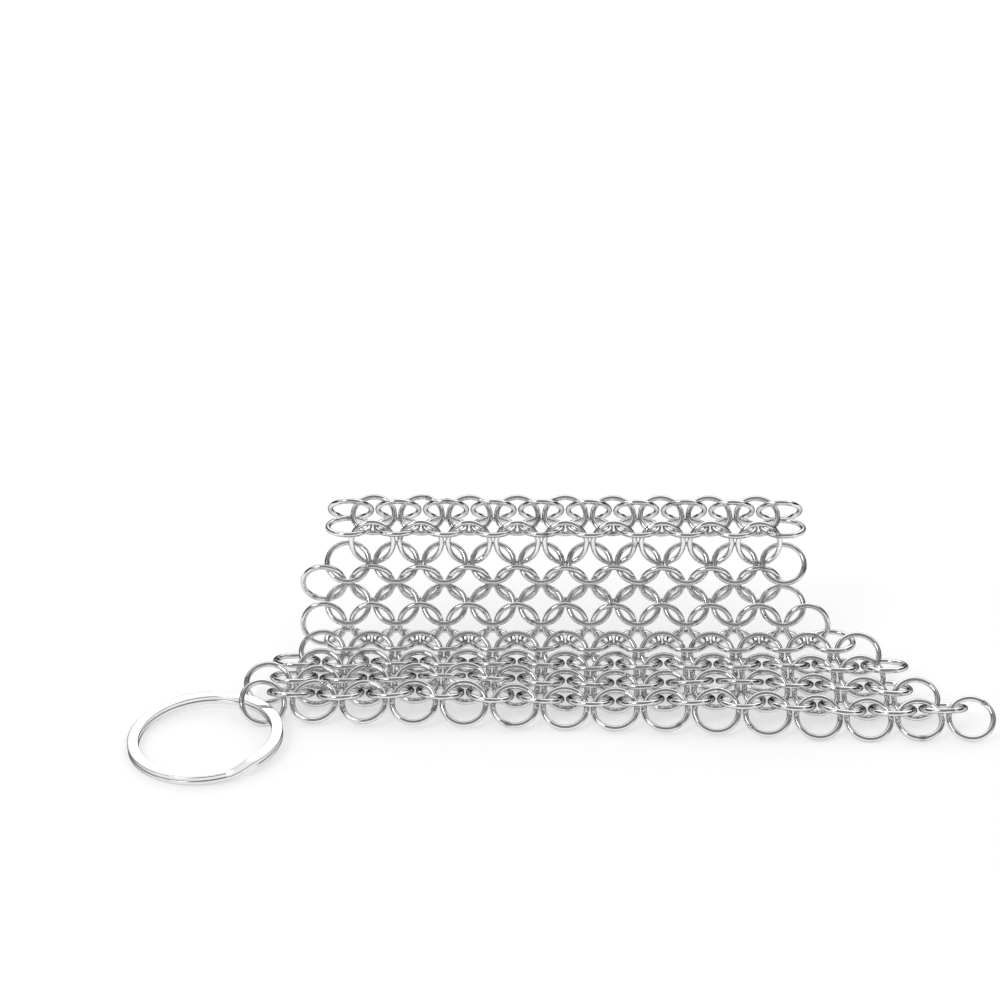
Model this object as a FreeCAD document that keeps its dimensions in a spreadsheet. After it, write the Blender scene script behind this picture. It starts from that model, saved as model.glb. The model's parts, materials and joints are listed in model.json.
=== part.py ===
import FreeCAD, Part
import math
import os

# Chain-mail pot scrubber, laid over a pan's rim: rows of welded rings and a split ring.
# Frame: X along the rows, -Y down the sheet towards the user, +Z up, origin on the rim row.

# Driving sizes in millimetres
LENGTHS = {
    "ring_diameter": 12.2,
    "wire": 1.35,
    "side_gap": 0.3,
    "edge_wave": 0.7,
    "edge_wave_length": 95.0,
    "ripple": 2.2,
    "ripple_length": 75.0,
    "corner_pull": 2.2,
    "floor_gap": 0.02,
    "split_diameter": 38.0,
    "split_band": 2.7,
    "split_turn": 1.0,
    "split_turn_gap": 0.12,
}

# Driving angles in degrees
ANGLES = {
    "ring_lean": 25.0,
    "lean_wobble": 3.0,
    "twist_wobble": 1.5,
    "rim_slope": 9.0,
    "edge_wave_start": 63.0,
    "ripple_start": 128.0,
    "ripple_drift": 8.0,
    "corner_lean": 42.0,
    "corner_turn": 28.0,
    "split_bearing": 220.0,
    "split_ends": 74.0,
    "split_ramp": 24.0,
    "split_end_gap": 1.5,
}

# Rows from inside the pan to the front edge, with the slots of their first and last rings.
# Slots are numbered along a row, half a pitch apart, and every other one holds a ring.
ROWS = (
    ("inner_row", 0, 18),
    ("rim_row", 1, 17),
    ("hanging_row_1", 0, 18),
    ("hanging_row_2", 1, 17),
    ("hanging_row_3", 0, 18),
    ("hanging_row_4", -1, 17),
    ("hanging_row_5", 0, 18),
    ("floor_row_1", -1, 19),
    ("floor_row_2", 0, 20),
    ("floor_row_3", -1, 21),
    ("floor_row_4", -2, 22),
    ("floor_row_5", -1, 21),
    ("floor_row_6", -2, 22),
    ("floor_row_7", -3, 23),
    ("floor_row_8", -2, 24),
    ("floor_row_9", -1, 25),
)
RIM_ROW = 1
MIDDLE_SLOT = 9
CORNER_SLOT = -3

# From each row to the next: the step as a share of a ring's hole, the bend and the yaw
STEP_SHARES = (
    0.485, 0.49, 0.495, 0.545, 0.58, 0.58, 0.54, 0.48,
    0.46, 0.44, 0.435, 0.43, 0.425, 0.425, 0.43,
)
BENDS_DEG = (34, 12, 35, 10, 10, -10, -10, -34, -8, -8, 1, -3, 1, -4, 2)
YAWS_DEG = (0, 0, 0, 0, 0, 0, 0, 0, 0, -0.4, -0.45, -0.45, -0.45, -0.45, -0.45)

# What each row takes of the lean, of the rings' uneven lie, of the edge's wave and of the ripple
LEAN_SHARES = (
    1, 1, 1, 1, 1, 1, 1, 1,
    0.95, 1.0, 0.88, 1.05, 0.88, 1.05, 0.88, 1.05,
)
WOBBLE_SHARES = (
    0.3, 0.3, 0.3, 0.3, 0.5, 0.5, 0.3, 0.3,
    0.3, 0.6, 1.0, 1.0, 1.0, 1.0, 1.0, 1.0,
)
WAVE_SHARES = (
    0, 0, 0, 0, 0, 0, 0, 0,
    0, 0.15, 0.3, 0.45, 0.6, 0.75, 0.9, 1.0,
)
RIPPLE_SHARES = (
    0, 0, 0, 0, 0, 0, 0, 0,
    0, 0, 0.15, 0.4, 0.7, 1.0, 0.9, 0.6,
)
GOLDEN_ANGLE_DEG = 137.508

# Where the split ring's band passes the corner ring, as a share of its hole's radius
SPLIT_SEAT_SHARE = 0.375
# Heights of the split ring's ramp at even steps, as shares of its rise
RAMP_HEIGHT_SHARES = (0, 0.16, 0.5, 0.84, 1)

AXIS_X = FreeCAD.Vector(1, 0, 0)
AXIS_Y = FreeCAD.Vector(0, 1, 0)
AXIS_Z = FreeCAD.Vector(0, 0, 1)

doc = FreeCAD.newDocument("pot_scrubber")


def make_sheet():
    """Put every driving value in one sheet and return the sheet."""
    sheet = doc.addObject("Spreadsheet::Sheet", "sizes")
    values = list(LENGTHS.items()) + list(ANGLES.items())
    for row, (alias, value) in enumerate(values, start=1):
        sheet.set("A%d" % row, alias)
        sheet.set("B%d" % row, str(value))
        sheet.setAlias("B%d" % row, alias)
    doc.recompute()
    return sheet


sizes = make_sheet()

RING_RADIUS = (sizes.ring_diameter - sizes.wire) / 2
WIRE_RADIUS = sizes.wire / 2
RING_HOLE = sizes.ring_diameter - 2 * sizes.wire
HALF_PITCH = (sizes.ring_diameter + sizes.side_gap) / 2
SPLIT_RISE = sizes.split_turn + sizes.split_turn_gap
SPLIT_HEIGHT = sizes.split_turn + SPLIT_RISE
SPLIT_OUTER = sizes.split_diameter / 2
SPLIT_MIDDLE = SPLIT_OUTER - sizes.split_band / 2


def shift(x, y, z):
    """A placement that only moves."""
    return FreeCAD.Placement(FreeCAD.Vector(x, y, z), FreeCAD.Rotation())


def turn(axis, degrees):
    """A placement that only turns about the origin."""
    return FreeCAD.Placement(FreeCAD.Vector(), FreeCAD.Rotation(axis, degrees))


def row_frames():
    """Chain the rows from the rim row both ways: half a step, yaw and bend, half a step."""
    frames = {RIM_ROW: turn(AXIS_X, sizes.rim_slope)}
    for index in range(RIM_ROW, len(ROWS) - 1):
        half_step = shift(0, -STEP_SHARES[index] * RING_HOLE / 2, 0)
        hinge = turn(AXIS_Z, YAWS_DEG[index]) * turn(AXIS_X, BENDS_DEG[index])
        frames[index + 1] = frames[index] * half_step * hinge * half_step
    for index in range(RIM_ROW - 1, -1, -1):
        half_step = shift(0, STEP_SHARES[index] * RING_HOLE / 2, 0)
        hinge = turn(AXIS_X, -BENDS_DEG[index]) * turn(AXIS_Z, -YAWS_DEG[index])
        frames[index] = frames[index + 1] * half_step * hinge * half_step
    return frames


def place_along(index, slot):
    """The place of a ring's centre in its row: along the row, with the edge's wave."""
    x = (slot - MIDDLE_SLOT) * HALF_PITCH
    phase = 2 * math.pi * x / sizes.edge_wave_length + math.radians(sizes.edge_wave_start)
    return x, WAVE_SHARES[index] * sizes.edge_wave * math.sin(phase)


def ripple_height(index, x):
    """How far the sheet's ripple lifts a place in a row."""
    turns = x / sizes.ripple_length
    phase = 2 * math.pi * turns + math.radians(sizes.ripple_start + index * sizes.ripple_drift)
    return RIPPLE_SHARES[index] * sizes.ripple * (1 + math.sin(phase)) / 2


def ripple_slopes(index, x):
    """The ripple's slopes at a place in a row, along the row and up the sheet, in degrees."""
    along = ripple_height(index, x + HALF_PITCH) - ripple_height(index, x - HALF_PITCH)
    before = max(index - 1, 0)
    after = min(index + 1, len(ROWS) - 1)
    rise = ripple_height(before, x) - ripple_height(after, x)
    run = sum(STEP_SHARES[before:after]) * RING_HOLE
    return math.degrees(math.atan2(along, 2 * HALF_PITCH)), math.degrees(math.atan2(rise, run))


def ring_placement(index, slot, number):
    """A ring in its row: rows lean to and fro in turn, ride the ripple and lie a little unevenly."""
    x, y = place_along(index, slot)
    z = ripple_height(index, x)
    climb, rise = ripple_slopes(index, x)
    side = 1 if index % 2 else -1
    share = WOBBLE_SHARES[index]
    phase = math.radians(number * GOLDEN_ANGLE_DEG)
    lean = side * LEAN_SHARES[index] * sizes.ring_lean + rise
    lean += share * sizes.lean_wobble * math.sin(phase)
    twist = share * sizes.twist_wobble * math.cos(phase) - climb
    return shift(x, y, z) * turn(AXIS_Y, twist) * turn(AXIS_X, lean)


def ring_reach(placement):
    """How far a ring reaches below its centre."""
    normal = placement.Rotation.multVec(AXIS_Z)
    return RING_RADIUS * math.sqrt(1 - normal.z ** 2) + WIRE_RADIUS


def add_ring(name, placement):
    """One welded ring of round wire."""
    ring = doc.addObject("Part::Torus", name)
    ring.setExpression("Radius1", "(sizes.ring_diameter - sizes.wire) / 2")
    ring.setExpression("Radius2", "sizes.wire / 2")
    ring.Placement = placement
    return ring


def add_rows(frames):
    """Every row as a group of its rings, and the height of the floor under the lowest ring."""
    rows = []
    number = 0
    floor = 0
    for index, (label, first, last) in enumerate(ROWS):
        rings = []
        for slot in range(first, last + 1, 2):
            local = ring_placement(index, slot, number)
            placed = frames[index] * local
            floor = min(floor, placed.Base.z - ring_reach(placed))
            rings.append(add_ring("%s_ring_%d" % (label, len(rings) + 1), local))
            number += 1
        row = doc.addObject("Part::Compound", label)
        row.Label = label
        row.Links = rings
        row.Placement = frames[index]
        rows.append(row)
    return rows, floor


def corner_placement(frame, floor):
    """The corner ring, drawn out and turned by the split ring, with its low side on the floor."""
    x, y = place_along(len(ROWS) - 1, CORNER_SLOT)
    lean = turn(AXIS_Z, sizes.corner_turn) * turn(AXIS_X, sizes.corner_lean)
    placed = frame * shift(x, y - sizes.corner_pull, 0) * lean
    height = floor + sizes.floor_gap + ring_reach(placed)
    placed.Base.z = height
    return placed


def add_corner_ring(placement):
    """The ring at the front left corner, which carries the split ring."""
    ring = add_ring("corner_ring", placement)
    ring.Label = "corner_ring"
    return ring


def add_arc_band(name, height, start_deg):
    """One flat turn of the split ring, short of a full circle by its ramp and end gap."""
    outer = doc.addObject("Part::Cylinder", name + "_outer")
    inner = doc.addObject("Part::Cylinder", name + "_inner")
    outer.setExpression("Radius", "sizes.split_diameter / 2")
    inner.setExpression("Radius", "sizes.split_diameter / 2 - sizes.split_band")
    for cylinder in (outer, inner):
        cylinder.setExpression("Height", "sizes.split_turn")
        cylinder.setExpression("Angle", "360 - sizes.split_ramp - sizes.split_end_gap")
        cylinder.Placement = shift(0, 0, height) * turn(AXIS_Z, start_deg)
    band = doc.addObject("Part::Cut", name)
    band.Base = outer
    band.Tool = inner
    return band


def add_ramp(base):
    """The short ramp that joins the split ring's lower turn to its upper turn."""
    sections = []
    steps = len(RAMP_HEIGHT_SHARES) - 1
    upright = turn(AXIS_X, 90)
    for step, share in enumerate(RAMP_HEIGHT_SHARES):
        section = doc.addObject("Part::Plane", "split_ramp_section_%d" % step)
        section.setExpression("Length", "sizes.split_band")
        section.setExpression("Width", "sizes.split_turn")
        height = base + share * SPLIT_RISE
        spoke = turn(AXIS_Z, sizes.split_ramp * step / steps)
        section.Placement = spoke * shift(SPLIT_OUTER - sizes.split_band, 0, height) * upright
        sections.append(section)
    ramp = doc.addObject("Part::Loft", "split_ramp")
    ramp.Sections = sections
    ramp.Solid = True
    return ramp


def split_placement(corner, floor):
    """Thread the band through the corner ring and let the far side down to the floor."""
    up_slope = corner.Rotation.multVec(AXIS_Y)
    seat = corner.Base - up_slope * (SPLIT_SEAT_SHARE * RING_HOLE / 2)
    reach = SPLIT_MIDDLE + SPLIT_OUTER
    tilt = 0
    for _ in range(20):
        drop = reach * math.sin(tilt) + SPLIT_HEIGHT / 2 * math.cos(tilt)
        tilt += (seat.z - drop - floor - sizes.floor_gap) / reach
    bearing = turn(AXIS_Z, sizes.split_bearing) * turn(AXIS_Y, math.degrees(tilt))
    middle = bearing * shift(SPLIT_MIDDLE, 0, 0) * turn(AXIS_Z, sizes.split_ends)
    return FreeCAD.Placement(seat, FreeCAD.Rotation()) * middle


def add_split_ring(placement):
    """The flat two-turn split ring, as one wound piece."""
    base = -SPLIT_HEIGHT / 2
    lower = add_arc_band("split_lower_turn", base, sizes.split_ramp + sizes.split_end_gap)
    upper = add_arc_band("split_upper_turn", base + SPLIT_RISE, sizes.split_ramp)
    ramp = add_ramp(base)
    ring = doc.addObject("Part::MultiFuse", "split_ring")
    ring.Label = "split_ring"
    ring.Shapes = [lower, ramp, upper]
    ring.Placement = placement
    return ring


def check(parts):
    """Stop before writing if any object failed or any sub-part has a bad shape."""
    for item in doc.Objects:
        if "Invalid" in item.State or "Error" in item.State:
            raise RuntimeError("failed object: " + item.Name)
    for part in parts:
        if part.Shape.isNull() or not part.Shape.isValid() or not part.Shape.Solids:
            raise RuntimeError("bad shape: " + part.Label)


row_placements = row_frames()
sub_parts, floor_height = add_rows(row_placements)
corner_place = corner_placement(row_placements[len(ROWS) - 1], floor_height)
sub_parts.append(add_corner_ring(corner_place))
sub_parts.append(add_split_ring(split_placement(corner_place, floor_height)))
doc.recompute()
check(sub_parts)

os.makedirs("parts", exist_ok=True)
for sub_part in sub_parts:
    sub_part.Shape.exportStep("parts/%s.step" % sub_part.Label)
    print(sub_part.Label, len(sub_part.Shape.Solids), "solids")
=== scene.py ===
import json
import math

import bpy
import numpy as np
from mathutils import Matrix, Vector

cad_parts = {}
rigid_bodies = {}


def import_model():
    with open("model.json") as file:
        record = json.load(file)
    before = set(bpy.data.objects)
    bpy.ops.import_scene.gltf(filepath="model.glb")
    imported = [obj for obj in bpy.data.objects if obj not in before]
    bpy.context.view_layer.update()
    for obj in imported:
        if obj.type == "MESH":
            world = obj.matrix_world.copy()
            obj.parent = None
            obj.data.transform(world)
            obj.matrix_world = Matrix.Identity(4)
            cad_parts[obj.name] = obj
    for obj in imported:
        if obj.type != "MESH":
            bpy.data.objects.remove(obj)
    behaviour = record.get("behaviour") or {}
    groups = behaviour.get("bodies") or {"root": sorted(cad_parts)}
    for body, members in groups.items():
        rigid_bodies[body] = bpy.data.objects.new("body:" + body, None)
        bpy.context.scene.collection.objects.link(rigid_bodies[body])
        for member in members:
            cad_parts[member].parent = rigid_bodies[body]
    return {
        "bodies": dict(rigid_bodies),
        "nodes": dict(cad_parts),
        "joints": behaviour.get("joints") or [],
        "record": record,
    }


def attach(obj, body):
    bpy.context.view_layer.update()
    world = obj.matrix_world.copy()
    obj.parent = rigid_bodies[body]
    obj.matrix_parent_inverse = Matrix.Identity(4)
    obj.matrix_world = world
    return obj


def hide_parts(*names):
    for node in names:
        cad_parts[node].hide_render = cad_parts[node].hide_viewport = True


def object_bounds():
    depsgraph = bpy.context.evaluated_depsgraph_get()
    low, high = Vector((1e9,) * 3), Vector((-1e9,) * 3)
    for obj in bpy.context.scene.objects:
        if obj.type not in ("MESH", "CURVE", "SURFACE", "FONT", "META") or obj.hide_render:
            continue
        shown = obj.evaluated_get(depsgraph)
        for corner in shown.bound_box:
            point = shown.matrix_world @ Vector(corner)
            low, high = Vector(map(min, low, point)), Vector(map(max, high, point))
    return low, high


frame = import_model()
cad_low, cad_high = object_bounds()

# Sizes of the pieces, in metres
RING_DIAMETER = 0.0122
WIRE_DIAMETER = 0.00135
WELD_RISE = 0.00004
WELD_GROOVE = 0.00003
SPLIT_DIAMETER = 0.038
SPLIT_BAND = 0.0027
SPLIT_TURN = 0.001
SPLIT_TURN_GAP = 0.00012
SPLIT_EDGE_ROUND = 0.00022
MERGE_DISTANCE = 0.0000001

# Angles of the split ring, in degrees
SPLIT_ENDS_DEG = 74.0
SPLIT_RAMP_DEG = 24.0
SPLIT_END_GAP_DEG = 1.5
SPLIT_SMOOTH_DEG = 35.0

# Divisions of the split ring's band
SPLIT_RAMP_STEPS = 12
SPLIT_TURN_STEPS = 112
SPLIT_ROUND_STEPS = 3

# Divisions of a mail ring, round it and round its wire, and of the sections beside its weld
RING_SIDES = 36
WIRE_SIDES = 10
WELD_CUTS = 3

# How far the weld's parts reach to each side of it, in sections of the ring
WELD_CUT_REACH = 1.5
WELD_BEAD_REACH = 0.6
WELD_SEAM_REACH = 0.1

# Steps of weld angle and of tone from one ring to the next, so that no two neighbours match
WELD_TURN_DEG = 137.508
TONE_STEP = 0.618034

# The steel's faint mottle, its fine rub marks and the tint of a weld
MOTTLE_SCALE = 700.0
MOTTLE_DETAIL = 4.0
MOTTLE_RANGE = (0.3, 0.7)
RUB_SCALE = 3500.0
RUB_DETAIL = 3.0
RUB_STRENGTH = 0.08
RUB_DEPTH = 0.00002
WELD_TINT = (0.52, 0.51, 0.50, 1)

# Each steel's colour, least and most roughness, and the share by which its tone varies
MAIL_FINISH = ((0.87, 0.87, 0.88), (0.06, 0.13), 0.08)
SPLIT_FINISH = ((0.86, 0.86, 0.87), (0.08, 0.14), 0.04)

# The photograph's view
CAMERA_AIM = (-0.0168, -0.0127, 0.0106)
CAMERA_ELEVATION_DEG = 26.0
CAMERA_AZIMUTH_DEG = 0.49
CAMERA_DISTANCE = 0.6
CAMERA_LENS_MM = 84.96
CAMERA_NEAR = 0.01
SENSOR_MM = 36.0

# The light of the white tent, and its softboxes: name, place, width, height and power
WHITE = (1, 1, 1, 1)
TENT_STRENGTH = 0.9
SOFTBOX_AIM = (0, -0.02, 0)
SOFTBOXES = (
    ("key_softbox", (-0.5, -0.45, 0.7), 0.3, 0.3, 1.5),
    ("back_softbox", (0.1, 0.9, 0.6), 1.2, 0.5, 2.2),
)

# The tent's cards: direction, rim and softness in degrees, and grey
TENT_CARDS = (
    ((0, -0.64, 0.77), 52, 8, 0.22),
    ((-0.75, 0.65, -0.1), 31, 5, 0.02),
    ((0.75, 0.65, -0.1), 31, 5, 0.02),
    ((-0.97, 0.15, 0.15), 34, 6, 0.04),
    ((0.97, 0.15, 0.15), 34, 6, 0.04),
)

# The share of the tent's white that shows through the milky floor, to the camera and in the metal
FLOOR_GLOW = 0.45
FLOOR_COLOUR = (0.95, 0.95, 0.95, 1)
FLOOR_ROUGHNESS = 0.9
FLOOR_SIZE = 8
FLOOR_DROP = 0.00002

MAIL_ROWS = [body for body in frame["bodies"] if body.endswith("row") or "_row_" in body]


def start_piece(name):
    """Name the object that an operator has just made, with nothing selected in its mesh."""
    piece = bpy.context.object
    piece.name = name
    piece.data.name = name
    bpy.ops.object.mode_set(mode="EDIT")
    bpy.ops.mesh.select_all(action="DESELECT")
    bpy.ops.object.mode_set(mode="OBJECT")
    return piece


def only(piece):
    """Make a piece the one selected and active object."""
    bpy.ops.object.select_all(action="DESELECT")
    piece.select_set(True)
    bpy.context.view_layer.objects.active = piece


def ring_angle(point):
    """The angle of a point about a ring's axis, in degrees from the weld."""
    return math.degrees(math.atan2(point.y, point.x))


def fatten_sections(ring, widest_deg, amount):
    """Swell or sink the wire's sections that lie within an angle of the weld."""
    only(ring)
    for vertex in ring.data.vertices:
        vertex.select = abs(ring_angle(vertex.co)) < widest_deg
    bpy.ops.object.mode_set(mode="EDIT")
    bpy.ops.mesh.select_mode(type="VERT")
    bpy.ops.transform.shrink_fatten(value=amount)
    bpy.ops.mesh.select_all(action="DESELECT")
    bpy.ops.object.mode_set(mode="OBJECT")


def model_ring():
    """One welded ring of round wire, with the small bead and seam of its weld."""
    bpy.ops.object.select_all(action="DESELECT")
    bpy.ops.mesh.primitive_torus_add(
        major_segments=RING_SIDES,
        minor_segments=WIRE_SIDES,
        major_radius=(RING_DIAMETER - WIRE_DIAMETER) / 2,
        minor_radius=WIRE_DIAMETER / 2,
    )
    ring = start_piece("welded_ring")
    section_deg = 360 / RING_SIDES
    points = ring.data.vertices
    for edge in ring.data.edges:
        first, second = (ring_angle(points[index].co) for index in edge.vertices)
        apart = abs(first - second)
        near = max(abs(first), abs(second)) < WELD_CUT_REACH * section_deg
        edge.select = near and section_deg / 2 < apart < section_deg * 3 / 2
    bpy.ops.object.mode_set(mode="EDIT")
    bpy.ops.mesh.select_mode(type="EDGE")
    bpy.ops.mesh.subdivide(number_cuts=WELD_CUTS)
    bpy.ops.mesh.select_all(action="DESELECT")
    bpy.ops.object.mode_set(mode="OBJECT")
    fatten_sections(ring, WELD_BEAD_REACH * section_deg, WELD_RISE)
    fatten_sections(ring, WELD_SEAM_REACH * section_deg, -WELD_RISE - WELD_GROOVE)
    bpy.ops.object.shade_smooth()
    weld = ring.data.attributes.new("weld", "FLOAT", "POINT")
    tint = [max(0.0, 1 - abs(ring_angle(v.co)) / section_deg) for v in ring.data.vertices]
    weld.data.foreach_set("value", tint)
    ring.data.attributes.new("tone", "FLOAT", "POINT")
    return ring


def ring_places(node):
    """The places of a CAD row's rings, from one end of the row to the other."""
    mesh = frame["nodes"][node].data
    points = np.empty(len(mesh.vertices) * 3)
    mesh.vertices.foreach_get("co", points)
    points = points.reshape(-1, 3)
    corners = np.empty(len(mesh.loops), dtype=int)
    mesh.loops.foreach_get("vertex_index", corners)
    triangles = corners.reshape(-1, 3)
    along = points[triangles][:, :, 0]
    order = np.argsort(along.min(axis=1), kind="stable")
    starts = along.min(axis=1)[order]
    reach = np.maximum.accumulate(along.max(axis=1)[order])
    breaks = np.flatnonzero(starts[1:] > reach[:-1]) + 1
    places = []
    for part in np.split(order, breaks):
        ring = points[np.unique(triangles[part])]
        centre = ring.mean(axis=0)
        axis = np.linalg.svd(ring - centre, full_matrices=False)[2][2]
        axis = axis if axis[2] > 0 else -axis
        turn = Vector((0, 0, 1)).rotation_difference(Vector(axis)).to_matrix().to_4x4()
        places.append(Matrix.Translation(Vector(centre)) @ turn)
    return places


def lay_rings(name, places, ring, number):
    """Copy the ring to each place of a row, each with its own weld angle and tone, as one piece."""
    copies = []
    for place in places:
        copy = ring.copy()
        copy.data = ring.data.copy()
        bpy.context.collection.objects.link(copy)
        weld_turn = Matrix.Rotation(math.radians(number * WELD_TURN_DEG), 4, "Z")
        copy.matrix_world = place @ weld_turn
        tone = copy.data.attributes["tone"]
        tone.data.foreach_set("value", [number * TONE_STEP % 1.0] * len(tone.data))
        copies.append(copy)
        number += 1
    bpy.ops.object.select_all(action="DESELECT")
    for copy in copies:
        copy.select_set(True)
    bpy.context.view_layer.objects.active = copies[0]
    bpy.ops.object.join()
    bpy.ops.object.transform_apply(location=True, rotation=True, scale=True)
    row = bpy.context.object
    row.name = name
    row.data.name = name
    return row, number


def ramp_share(step):
    """The share of the ramp's rise that is reached at a step, eased at both ends."""
    along = step / SPLIT_RAMP_STEPS
    return along * along * (3 - 2 * along)


def model_split_ring():
    """The flat two-turn split ring: one rounded band swept through a turn, a ramp and a turn."""
    rise = SPLIT_TURN + SPLIT_TURN_GAP
    sweep = -math.radians(360 - SPLIT_RAMP_DEG - SPLIT_END_GAP_DEG)
    bpy.ops.object.select_all(action="DESELECT")
    bpy.ops.mesh.primitive_plane_add(size=1, rotation=(math.pi / 2, 0, 0))
    piece = start_piece("split_ring_band")
    piece.scale = (SPLIT_BAND, SPLIT_TURN, 1)
    piece.location = ((SPLIT_DIAMETER - SPLIT_BAND) / 2, 0, -rise / 2)
    bpy.ops.object.transform_apply(location=True, rotation=True, scale=True)
    bpy.ops.object.mode_set(mode="EDIT")
    bpy.ops.mesh.select_mode(type="FACE")
    bpy.ops.mesh.select_all(action="SELECT")
    bpy.ops.mesh.bevel(
        offset=SPLIT_EDGE_ROUND, segments=SPLIT_ROUND_STEPS, affect="VERTICES"
    )
    bpy.ops.mesh.select_all(action="SELECT")
    bpy.ops.mesh.spin(
        steps=SPLIT_TURN_STEPS, angle=sweep, center=(0, 0, 0), axis=(0, 0, 1)
    )
    ramp_turn = math.radians(SPLIT_RAMP_DEG) / SPLIT_RAMP_STEPS
    for step in range(SPLIT_RAMP_STEPS):
        lift = rise * (ramp_share(step + 1) - ramp_share(step))
        bpy.ops.mesh.extrude_region_move(TRANSFORM_OT_translate={"value": (0, 0, lift)})
        bpy.ops.transform.rotate(
            value=-ramp_turn, orient_axis="Z", center_override=(0, 0, 0)
        )
    bpy.ops.mesh.spin(
        steps=SPLIT_TURN_STEPS, angle=sweep, center=(0, 0, 0), axis=(0, 0, 1)
    )
    bpy.ops.mesh.select_mode(type="EDGE")
    bpy.ops.mesh.select_all(action="SELECT")
    bpy.ops.mesh.remove_doubles(threshold=MERGE_DISTANCE)
    bpy.ops.mesh.select_all(action="DESELECT")
    bpy.ops.mesh.select_non_manifold()
    bpy.ops.mesh.edge_face_add()
    bpy.ops.mesh.select_all(action="SELECT")
    bpy.ops.mesh.normals_make_consistent(inside=False)
    bpy.ops.mesh.select_all(action="DESELECT")
    bpy.ops.object.mode_set(mode="OBJECT")
    bpy.ops.object.shade_smooth_by_angle(angle=math.radians(SPLIT_SMOOTH_DEG))
    return piece


def place_split_ring(piece):
    """Set the split ring through the corner ring, with its ends at the front right."""
    record = frame["record"]
    hole = next(mount for mount in record["mounts"] if mount["name"] == "hang_hole")
    hinge = next(joint for joint in frame["joints"] if joint["child"] == "split_ring")
    centre, up = Vector(hole["pos_m"]), Vector(hole["axis"]).normalized()
    away = centre - Vector(hinge["pos_m"])
    away = (away - up * away.dot(up)).normalized()
    basis = Matrix((away, up.cross(away), up)).transposed().to_4x4()
    start_deg = SPLIT_ENDS_DEG + SPLIT_RAMP_DEG + SPLIT_END_GAP_DEG
    turn = Matrix.Rotation(math.radians(start_deg), 4, "Z")
    piece.matrix_world = Matrix.Translation(centre) @ basis @ turn
    only(piece)
    bpy.ops.object.transform_apply(location=True, rotation=True, scale=True)


def steel(name, colour, roughness, tone_spread, weld):
    """Polished stainless steel with a faint mottle, fine rub marks and, on rings, weld tint."""
    material = bpy.data.materials.new(name)
    material.use_nodes = True
    nodes, links = material.node_tree.nodes, material.node_tree.links
    shader = nodes["Principled BSDF"]
    shader.inputs["Metallic"].default_value = 1.0
    shader.inputs["Specular Tint"].default_value = (0.0, 0.0, 0.0, 1)
    place = nodes.new("ShaderNodeTexCoord")

    mottle = nodes.new("ShaderNodeTexNoise")
    mottle.inputs["Scale"].default_value = MOTTLE_SCALE
    mottle.inputs["Detail"].default_value = MOTTLE_DETAIL
    links.new(place.outputs["Object"], mottle.inputs["Vector"])
    gloss = nodes.new("ShaderNodeMapRange")
    gloss.inputs["From Min"].default_value = MOTTLE_RANGE[0]
    gloss.inputs["From Max"].default_value = MOTTLE_RANGE[1]
    gloss.inputs["To Min"].default_value = roughness[0]
    gloss.inputs["To Max"].default_value = roughness[1]
    links.new(mottle.outputs["Fac"], gloss.inputs["Value"])
    links.new(gloss.outputs["Result"], shader.inputs["Roughness"])

    shade = nodes.new("ShaderNodeMix")
    shade.data_type = "RGBA"
    shade.inputs["A"].default_value = (*[c * (1 - tone_spread) for c in colour], 1)
    shade.inputs["B"].default_value = (*colour, 1)
    tint_source = shade.outputs["Result"]
    if weld:
        tone = nodes.new("ShaderNodeAttribute")
        tone.attribute_name = "tone"
        links.new(tone.outputs["Fac"], shade.inputs["Factor"])
        seam = nodes.new("ShaderNodeAttribute")
        seam.attribute_name = "weld"
        tinted = nodes.new("ShaderNodeMix")
        tinted.data_type = "RGBA"
        tinted.inputs["B"].default_value = WELD_TINT
        links.new(seam.outputs["Fac"], tinted.inputs["Factor"])
        links.new(shade.outputs["Result"], tinted.inputs["A"])
        tint_source = tinted.outputs["Result"]
    else:
        links.new(mottle.outputs["Fac"], shade.inputs["Factor"])
    links.new(tint_source, shader.inputs["Base Color"])

    rub = nodes.new("ShaderNodeTexNoise")
    rub.inputs["Scale"].default_value = RUB_SCALE
    rub.inputs["Detail"].default_value = RUB_DETAIL
    links.new(place.outputs["Object"], rub.inputs["Vector"])
    bump = nodes.new("ShaderNodeBump")
    bump.inputs["Strength"].default_value = RUB_STRENGTH
    bump.inputs["Distance"].default_value = RUB_DEPTH
    links.new(rub.outputs["Fac"], bump.inputs["Height"])
    links.new(bump.outputs["Normal"], shader.inputs["Normal"])
    return material


def dress(piece, body, material):
    """Let a piece stand for its CAD node, ride on its body and wear its finish."""
    piece.data.materials.clear()
    piece.data.materials.append(material)
    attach(piece, body)
    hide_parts(body)


mail_steel = steel("mail_steel", *MAIL_FINISH, weld=True)
split_steel = steel("split_steel", *SPLIT_FINISH, weld=False)

pattern_ring = model_ring()
ring_number = 0
for body in MAIL_ROWS + ["corner_ring"]:
    row_piece, ring_number = lay_rings(body + "_mail", ring_places(body), pattern_ring, ring_number)
    dress(row_piece, body, mail_steel)
bpy.data.objects.remove(pattern_ring)

split_piece = model_split_ring()
place_split_ring(split_piece)
dress(split_piece, "split_ring", split_steel)


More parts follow.
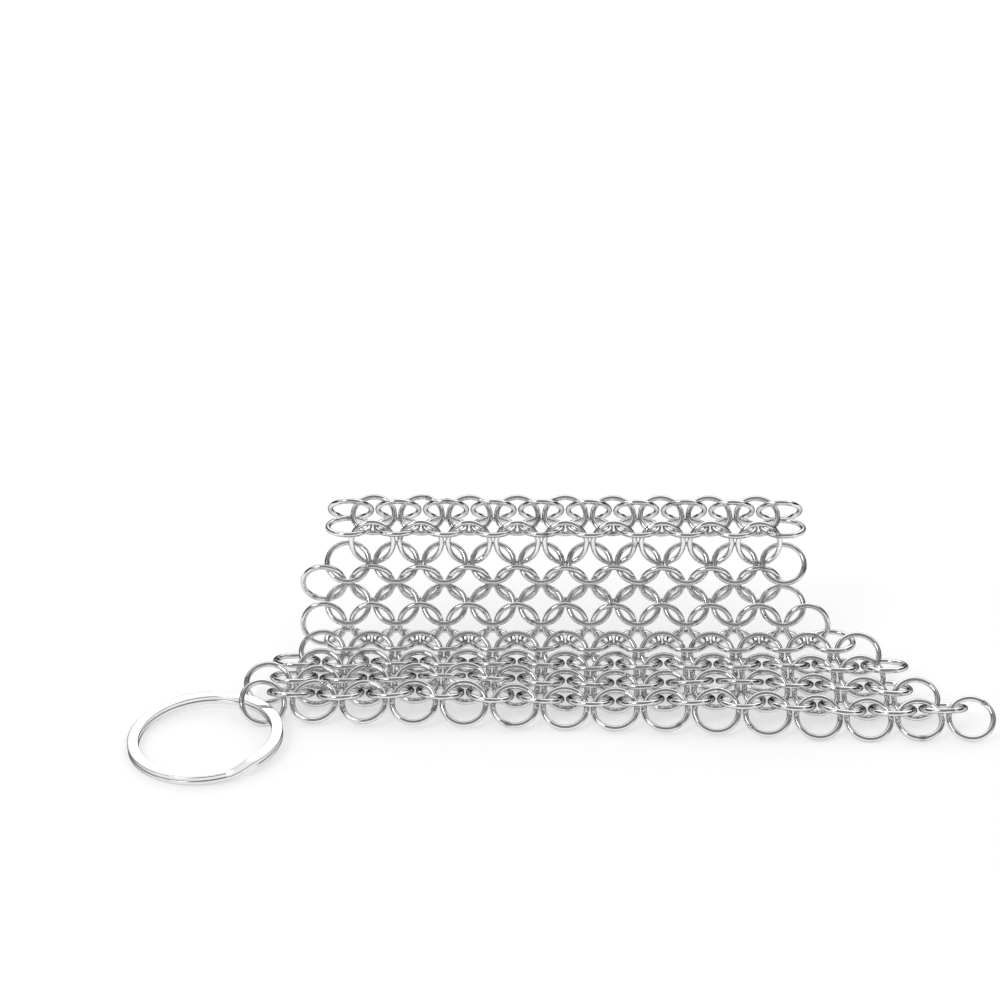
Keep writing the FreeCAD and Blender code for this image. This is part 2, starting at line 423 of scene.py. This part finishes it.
def lay_floor():
    """A pale plain floor, a little milky, under the lowest rings."""
    bpy.ops.object.select_all(action="DESELECT")
    bpy.ops.mesh.primitive_plane_add(size=FLOOR_SIZE, location=(0, 0, cad_low.z - FLOOR_DROP))
    floor = bpy.context.object
    floor.name = "floor"
    material = bpy.data.materials.new("floor_white")
    material.use_nodes = True
    nodes, links = material.node_tree.nodes, material.node_tree.links
    shader = nodes["Principled BSDF"]
    shader.inputs["Base Color"].default_value = FLOOR_COLOUR
    shader.inputs["Roughness"].default_value = FLOOR_ROUGHNESS
    shader.inputs["Specular IOR Level"].default_value = 0.0
    glow = nodes.new("ShaderNodeEmission")
    path = nodes.new("ShaderNodeLightPath")
    seen = nodes.new("ShaderNodeMath")
    seen.operation = "MAXIMUM"
    links.new(path.outputs["Is Camera Ray"], seen.inputs[0])
    links.new(path.outputs["Is Glossy Ray"], seen.inputs[1])
    share = nodes.new("ShaderNodeMath")
    share.operation = "MULTIPLY"
    share.inputs[1].default_value = FLOOR_GLOW
    links.new(seen.outputs["Value"], share.inputs[0])
    clear = nodes.new("ShaderNodeBsdfTransparent")
    white = nodes.new("ShaderNodeMixShader")
    links.new(path.outputs["Is Camera Ray"], white.inputs["Fac"])
    links.new(glow.outputs["Emission"], white.inputs[1])
    links.new(clear.outputs["BSDF"], white.inputs[2])
    blend = nodes.new("ShaderNodeMixShader")
    links.new(share.outputs["Value"], blend.inputs["Fac"])
    links.new(shader.outputs["BSDF"], blend.inputs[1])
    links.new(white.outputs["Shader"], blend.inputs[2])
    links.new(blend.outputs["Shader"], nodes["Material Output"].inputs["Surface"])
    floor.data.materials.append(material)


def add_softbox(name, place, width, height, power):
    """A rectangular soft lamp that faces the object."""
    bpy.ops.object.light_add(type="AREA", location=place)
    lamp = bpy.context.object
    lamp.name = name
    lamp.data.shape = "RECTANGLE"
    lamp.data.size = width
    lamp.data.size_y = height
    lamp.data.energy = power
    towards = Vector(SOFTBOX_AIM) - Vector(place)
    lamp.rotation_euler = towards.to_track_quat("-Z", "Y").to_euler()


def card_shade(nodes, links, ray, towards, rim_deg, soft_deg, grey):
    """A round card hung in one direction: its grey in the middle, and 1 away from it."""
    facing = nodes.new("ShaderNodeVectorMath")
    facing.operation = "DOT_PRODUCT"
    facing.inputs[1].default_value = Vector(towards).normalized()
    links.new(ray.outputs["Generated"], facing.inputs[0])
    edge = nodes.new("ShaderNodeMapRange")
    edge.interpolation_type = "SMOOTHSTEP"
    edge.inputs["From Min"].default_value = math.cos(math.radians(rim_deg + soft_deg))
    edge.inputs["From Max"].default_value = math.cos(math.radians(rim_deg - soft_deg))
    edge.inputs["To Min"].default_value = 1.0
    edge.inputs["To Max"].default_value = grey
    links.new(facing.outputs["Value"], edge.inputs["Value"])
    return edge.outputs["Result"]


def light_studio():
    """A white tent with a few softboxes, and cards that the polished metal mirrors."""
    world = bpy.data.worlds.new("studio")
    bpy.context.scene.world = world
    world.use_nodes = True
    nodes, links = world.node_tree.nodes, world.node_tree.links
    ray = nodes.new("ShaderNodeTexCoord")
    tent = nodes["Background"]
    tent.inputs["Strength"].default_value = TENT_STRENGTH
    tent.inputs["Color"].default_value = WHITE
    mirrored = nodes.new("ShaderNodeBackground")
    shade = None
    for towards, rim_deg, soft_deg, grey in TENT_CARDS:
        card = card_shade(nodes, links, ray, towards, rim_deg, soft_deg, grey)
        if shade is None:
            shade = card
            continue
        both = nodes.new("ShaderNodeMath")
        both.operation = "MULTIPLY"
        links.new(shade, both.inputs[0])
        links.new(card, both.inputs[1])
        shade = both.outputs["Value"]
    links.new(shade, mirrored.inputs["Color"])
    path = nodes.new("ShaderNodeLightPath")
    seen = nodes.new("ShaderNodeMixShader")
    links.new(path.outputs["Is Glossy Ray"], seen.inputs["Fac"])
    links.new(tent.outputs["Background"], seen.inputs[1])
    links.new(mirrored.outputs["Background"], seen.inputs[2])
    backdrop = nodes.new("ShaderNodeBackground")
    backdrop.inputs["Color"].default_value = WHITE
    shown = nodes.new("ShaderNodeMixShader")
    links.new(path.outputs["Is Camera Ray"], shown.inputs["Fac"])
    links.new(seen.outputs["Shader"], shown.inputs[1])
    links.new(backdrop.outputs["Background"], shown.inputs[2])
    links.new(shown.outputs["Shader"], nodes["World Output"].inputs["Surface"])
    for softbox in SOFTBOXES:
        add_softbox(*softbox)


def set_camera():
    """The photograph's viewing angle, with the object left and low of the middle."""
    tilt = math.radians(CAMERA_ELEVATION_DEG)
    swing = math.radians(CAMERA_AZIMUTH_DEG)
    back = Vector(
        (math.sin(swing) * math.cos(tilt), -math.cos(swing) * math.cos(tilt), math.sin(tilt))
    )
    bpy.ops.object.camera_add(location=Vector(CAMERA_AIM) + back * CAMERA_DISTANCE)
    camera = bpy.context.object
    camera.rotation_euler = (-back).to_track_quat("-Z", "Y").to_euler()
    camera.data.sensor_width = SENSOR_MM
    camera.data.lens = CAMERA_LENS_MM
    camera.data.clip_start = CAMERA_NEAR
    bpy.context.scene.camera = camera


lay_floor()
light_studio()
set_camera()
bpy.context.scene.view_settings.view_transform = "Standard"
